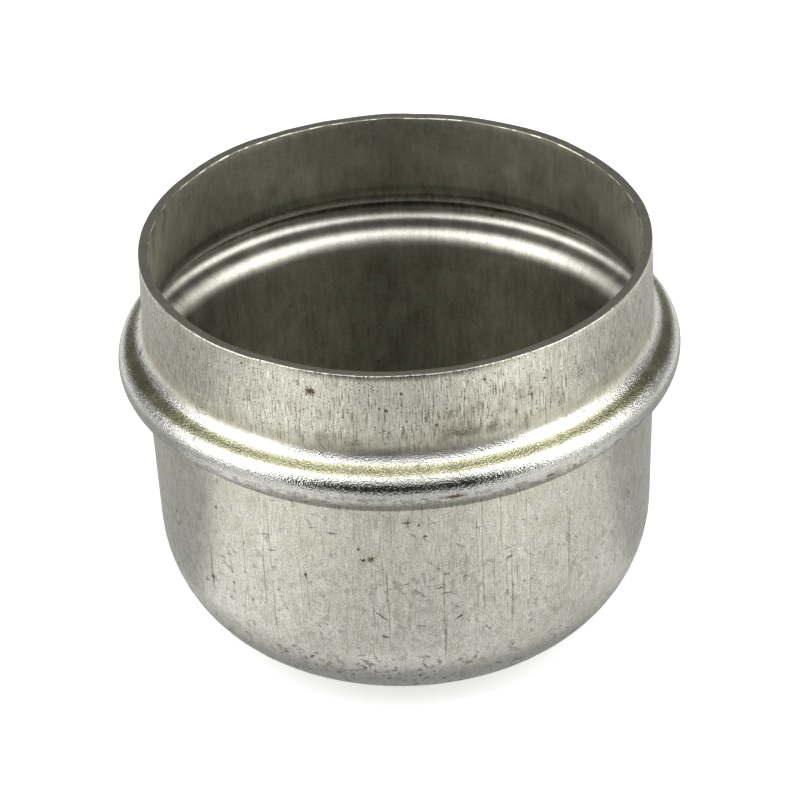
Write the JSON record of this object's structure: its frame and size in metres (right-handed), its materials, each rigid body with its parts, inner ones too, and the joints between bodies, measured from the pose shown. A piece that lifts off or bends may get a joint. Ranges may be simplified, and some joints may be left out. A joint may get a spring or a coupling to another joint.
{
  "type": "deep drawn metal cup",
  "caption": "Deep drawn steel cup, open at the top, with a straight press-fit collar, a hollow rounded bead all round and a flat bottom with a large corner radius.",
  "frame": {"origin": "centre of the flat bottom face, on its outside", "axes": "+Z along the cup's axis, from the bottom to the open mouth; the cup is round, so X and Y are free"},
  "size_m": [0.0554, 0.0554, 0.0425],
  "materials": {
    "steel": "satin, with upright drawing lines and fine pits"
  },
  "bodies": {
    "root": {"drawn_cup": "steel"}
  },
  "joints": []
}
